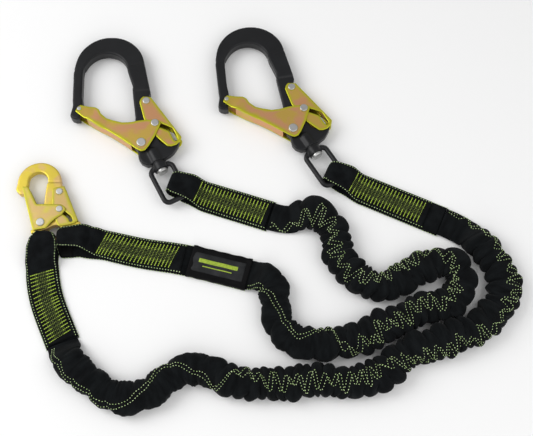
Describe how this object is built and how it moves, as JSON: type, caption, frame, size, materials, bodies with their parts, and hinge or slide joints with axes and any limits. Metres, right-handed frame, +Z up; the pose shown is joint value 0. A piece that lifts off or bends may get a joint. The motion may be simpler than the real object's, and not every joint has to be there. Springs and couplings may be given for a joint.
{
  "type": "shock absorbing lanyard",
  "caption": "Y-shaped fall-arrest lanyard: a snap hook joins legs of gathered stretch webbing over tear webbing, each ending in a swivel scaffold hook with a locking gate.",
  "frame": {"origin": "on the floor, under the middle of the hooks and sewn strap ends", "axes": "+Z up from the floor; +X along the longer side of the laid-out lanyard, +Y towards the scaffold hooks' bows"},
  "size_m": [0.7138, 0.5945, 0.028],
  "materials": {
    "black_steel": "satin black electrocoat over forged steel",
    "yellow_zinc": "yellow chromate zinc plating with pink and green interference tints",
    "rivet_steel": "bright zinc plated rivet heads",
    "spring_steel": "oiled spring wire",
    "lime_thread": "lime green bonded thread",
    "label_face": "plain printed label with one plain bar, no lettering",
    "label_sleeve": "black coated fabric sleeve",
    "absorber_webbing": "undyed tear webbing",
    "jacket_webbing": "black tubular polyester webbing, gathered",
    "strap_webbing": "black tubular polyester webbing with lime marker threads",
    "wear_sleeve": "black woven wear sleeve"
  },
  "bodies": {
    "webbing": {"label": "label_face", "label_sleeve": "label_sleeve", "leg_1_absorber_core": "absorber_webbing", "leg_1_hook_bartack": "lime_thread", "leg_1_hook_end_webbing": "strap_webbing", "leg_1_hook_wear_pad": "wear_sleeve", "leg_1_snap_bartack": "lime_thread", "leg_1_snap_end_webbing": "strap_webbing", "leg_1_snap_wear_pad": "wear_sleeve", "leg_1_stretch_jacket": "jacket_webbing", "leg_2_absorber_core": "absorber_webbing", "leg_2_hook_bartack": "lime_thread", "leg_2_hook_end_webbing": "strap_webbing", "leg_2_hook_wear_pad": "wear_sleeve", "leg_2_snap_bartack": "lime_thread", "leg_2_snap_end_webbing": "strap_webbing", "leg_2_snap_wear_pad": "wear_sleeve", "leg_2_stretch_jacket": "jacket_webbing"},
    "eye_1": {"scaffold_hook_1_swivel_eye": "black_steel"},
    "hook_1": {"scaffold_hook_1_body": "black_steel", "scaffold_hook_1_gate_rivet": "rivet_steel", "scaffold_hook_1_lock_rivet": "rivet_steel", "scaffold_hook_1_gate_spring": "spring_steel", "scaffold_hook_1_lock_spring": "spring_steel", "scaffold_hook_1_swivel_rivet": "rivet_steel", "scaffold_hook_1_swivel_washer": "rivet_steel"},
    "gate_1": {"scaffold_hook_1_gate": "yellow_zinc", "scaffold_hook_1_guide_pin": "rivet_steel", "scaffold_hook_1_tip_rivet": "rivet_steel"},
    "lock_1": {"scaffold_hook_1_lock_lever": "yellow_zinc"},
    "eye_2": {"scaffold_hook_2_swivel_eye": "black_steel"},
    "hook_2": {"scaffold_hook_2_body": "black_steel", "scaffold_hook_2_gate_rivet": "rivet_steel", "scaffold_hook_2_lock_rivet": "rivet_steel", "scaffold_hook_2_gate_spring": "spring_steel", "scaffold_hook_2_lock_spring": "spring_steel", "scaffold_hook_2_swivel_rivet": "rivet_steel", "scaffold_hook_2_swivel_washer": "rivet_steel"},
    "gate_2": {"scaffold_hook_2_gate": "yellow_zinc", "scaffold_hook_2_guide_pin": "rivet_steel", "scaffold_hook_2_tip_rivet": "rivet_steel"},
    "lock_2": {"scaffold_hook_2_lock_lever": "yellow_zinc"},
    "snap_hook": {"snap_hook_body": "yellow_zinc", "snap_hook_gate_rivet": "rivet_steel", "snap_hook_lock_rivet": "rivet_steel", "snap_hook_gate_spring": "spring_steel", "snap_hook_lock_spring": "spring_steel"},
    "snap_gate": {"snap_hook_gate": "yellow_zinc", "snap_hook_guide_pin": "rivet_steel"},
    "snap_lock": {"snap_hook_lock_lever": "yellow_zinc"}
  },
  "joints": [
    {"name": "eye_1_swing", "type": "hinge", "parent": "webbing", "child": "eye_1", "pos_m": [-0.05062, -0.02266, 0.0045], "axis": [0.3133, 0.9496, 0], "range_deg": [-60, 60], "deforming": ["leg_1_hook_end_webbing", "leg_1_hook_wear_pad"]},
    {"name": "hook_1_swivel", "type": "hinge", "parent": "eye_1", "child": "hook_1", "pos_m": [-0.10538, 0.01569, 0.0132], "axis": [-0.4633, 0.8862, 0], "continuous": true},
    {"name": "gate_1_hinge", "type": "hinge", "parent": "hook_1", "child": "gate_1", "pos_m": [-0.1342, 0.0514, 0.0132], "axis": [0, 0, -1], "range_deg": [0, 35], "stiffness_Nm_per_rad": 0.4, "springref_deg": -17.19, "deforming": ["scaffold_hook_1_gate_spring"]},
    {"name": "lock_1_hinge", "type": "hinge", "parent": "hook_1", "child": "lock_1", "pos_m": [-0.13056, 0.12214, 0.0132], "axis": [0, 0, -1], "range_deg": [0, 10], "stiffness_Nm_per_rad": 0.4, "springref_deg": -11.46, "deforming": ["scaffold_hook_1_lock_spring"]},
    {"name": "eye_2_swing", "type": "hinge", "parent": "webbing", "child": "eye_2", "pos_m": [0.17728, -0.00927, 0.0045], "axis": [0.4113, 0.9115, 0], "range_deg": [-60, 60], "deforming": ["leg_2_hook_end_webbing", "leg_2_hook_wear_pad"]},
    {"name": "hook_2_swivel", "type": "hinge", "parent": "eye_2", "child": "hook_2", "pos_m": [0.12076, 0.0414, 0.0132], "axis": [-0.527, 0.8499, 0], "continuous": true},
    {"name": "gate_2_hinge", "type": "hinge", "parent": "hook_2", "child": "gate_2", "pos_m": [0.0894, 0.0749, 0.0132], "axis": [0, 0, -1], "range_deg": [0, 35], "stiffness_Nm_per_rad": 0.4, "springref_deg": -17.19, "deforming": ["scaffold_hook_2_gate_spring"]},
    {"name": "lock_2_hinge", "type": "hinge", "parent": "hook_2", "child": "lock_2", "pos_m": [0.08785, 0.14571, 0.0132], "axis": [0, 0, -1], "range_deg": [0, 10], "stiffness_Nm_per_rad": 0.4, "springref_deg": -11.46, "deforming": ["scaffold_hook_2_lock_spring"]},
    {"name": "snap_swing", "type": "hinge", "parent": "webbing", "child": "snap_hook", "pos_m": [-0.24648, -0.09727, 0.0106], "axis": [0.9736, 0.2284, 0], "range_deg": [-45, 45], "deforming": ["leg_1_snap_end_webbing", "leg_1_snap_wear_pad", "leg_2_snap_end_webbing", "leg_2_snap_wear_pad"]},
    {"name": "snap_gate_hinge", "type": "hinge", "parent": "snap_hook", "child": "snap_gate", "pos_m": [-0.2722, -0.073, 0.0106], "axis": [0, 0, -1], "range_deg": [0, 30], "stiffness_Nm_per_rad": 0.25, "springref_deg": -17.19, "deforming": ["snap_hook_gate_spring"]},
    {"name": "snap_lock_hinge", "type": "hinge", "parent": "snap_hook", "child": "snap_lock", "pos_m": [-0.24937, -0.02451, 0.0106], "axis": [0, 0, -1], "range_deg": [0, 12], "stiffness_Nm_per_rad": 0.25, "springref_deg": -11.46, "deforming": ["snap_hook_lock_spring"]}
  ],
  "couplings": [
    {"joint": "lock_1_hinge", "follows": "gate_1_hinge", "ratio": 0.2857},
    {"joint": "lock_2_hinge", "follows": "gate_2_hinge", "ratio": 0.2857},
    {"joint": "snap_lock_hinge", "follows": "snap_gate_hinge", "ratio": 0.4}
  ]
}
